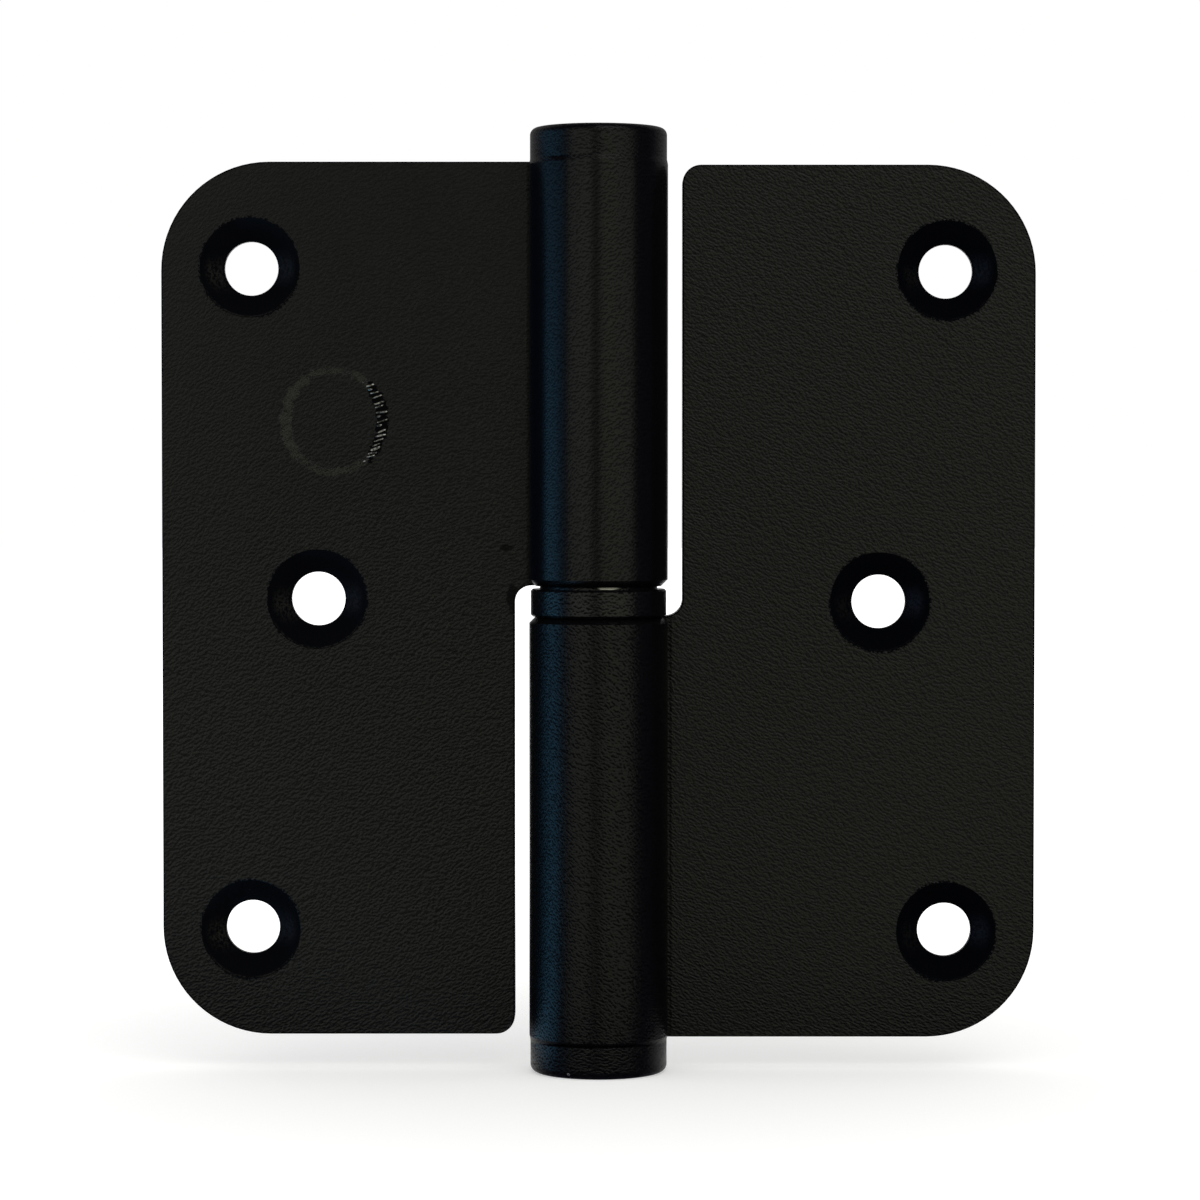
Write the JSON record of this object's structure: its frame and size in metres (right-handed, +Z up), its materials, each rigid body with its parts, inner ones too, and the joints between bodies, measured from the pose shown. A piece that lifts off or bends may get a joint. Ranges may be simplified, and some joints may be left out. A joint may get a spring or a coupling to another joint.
{
  "type": "paumelle hinge",
  "caption": "Lift-off paumelle hinge with round-cornered sheet-steel leaves, countersunk screw holes, rolled knuckles, thrust ring and capped ends, coated black.",
  "frame": {"origin": "on the pin's axis, midway between the end caps", "axes": "+Z up along the pin towards the lift-off side, +X towards the leaf that holds the pin, +Y out of the back faces that lie on the door and frame"},
  "size_m": [0.089, 0.014, 0.0958],
  "materials": {
    "black_coat": "matte fine-grained black powder coat on steel",
    "bare_steel": "turned bright steel"
  },
  "bodies": {
    "lower_leaf": {"lower_leaf": "black_coat", "hinge_pin": "bare_steel", "bottom_cap": "black_coat"},
    "thrust_ring": {"thrust_ring": "black_coat"},
    "upper_leaf": {"upper_leaf": "black_coat", "top_cap": "black_coat"}
  },
  "joints": [
    {"name": "swing", "type": "hinge", "parent": "lower_leaf", "child": "thrust_ring", "pos_m": [0, 0, 0], "axis": [0, 0, 1], "range_deg": [-130, 180]},
    {"name": "lift", "type": "slide", "parent": "thrust_ring", "child": "upper_leaf", "axis": [0, 0, 1], "range_m": [0, 0.037]}
  ]
}
